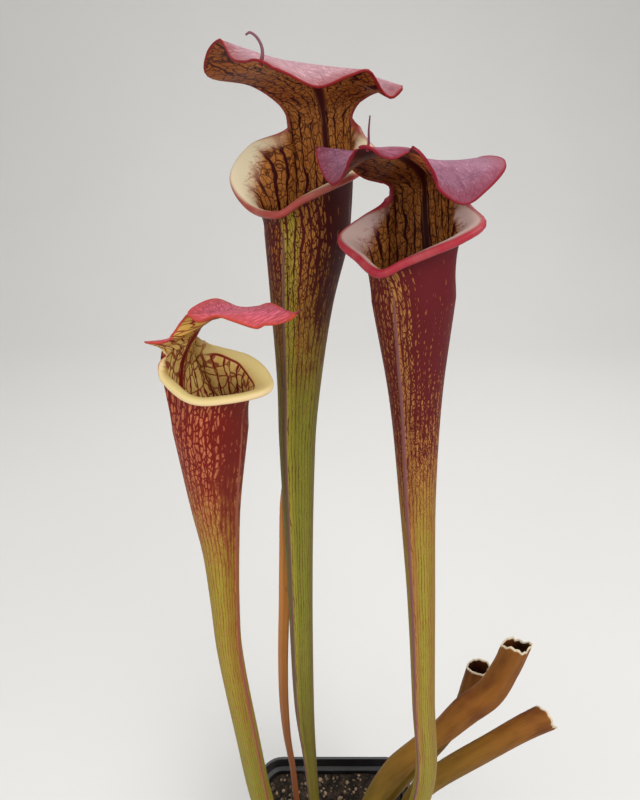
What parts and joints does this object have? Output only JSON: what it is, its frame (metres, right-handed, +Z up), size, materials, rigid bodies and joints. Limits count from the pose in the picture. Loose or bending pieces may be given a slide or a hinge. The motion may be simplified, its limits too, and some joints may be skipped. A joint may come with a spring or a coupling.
{
  "type": "potted trumpet pitcher plant",
  "caption": "Trumpet pitcher plant with wide open mouths and flared lids, growing from a rootstock in a square pot of soil.",
  "frame": {"origin": "middle of the pot's underside, on the surface it stands on", "axes": "+Z up; the pitchers' mouths look towards -Y, the short one's towards +X"},
  "size_m": [0.232, 0.1294, 0.6667],
  "materials": {
    "pot_plastic": "thin black moulded plastic, satin, lightly dusty",
    "soil": "dark damp potting mix with rounded tan grains",
    "rootstock": "rough brown scaly rootstock",
    "pitcher_tall": "smooth waxy leaf, olive gold with a maroon vein net, lid mauve on top",
    "pitcher_front": "smooth waxy leaf, wine maroon with gold net, crimson rolled rim",
    "pitcher_short": "smooth waxy leaf, crimson and gold net, pale yellow rolled rim",
    "old_pitcher": "dried orange-brown leaf tube, matt, paler at the torn end",
    "narrow_leaf": "thin orange-yellow leaf with a rib, browning downwards"
  },
  "bodies": {
    "root": {"pot": "pot_plastic", "soil": "soil", "rootstock": "rootstock", "pitcher_tall": "pitcher_tall", "pitcher_front": "pitcher_front", "pitcher_short": "pitcher_short", "old_pitcher_upper": "old_pitcher", "old_pitcher_back": "old_pitcher", "old_pitcher_lower": "old_pitcher", "narrow_leaf": "narrow_leaf"}
  },
  "joints": []
}
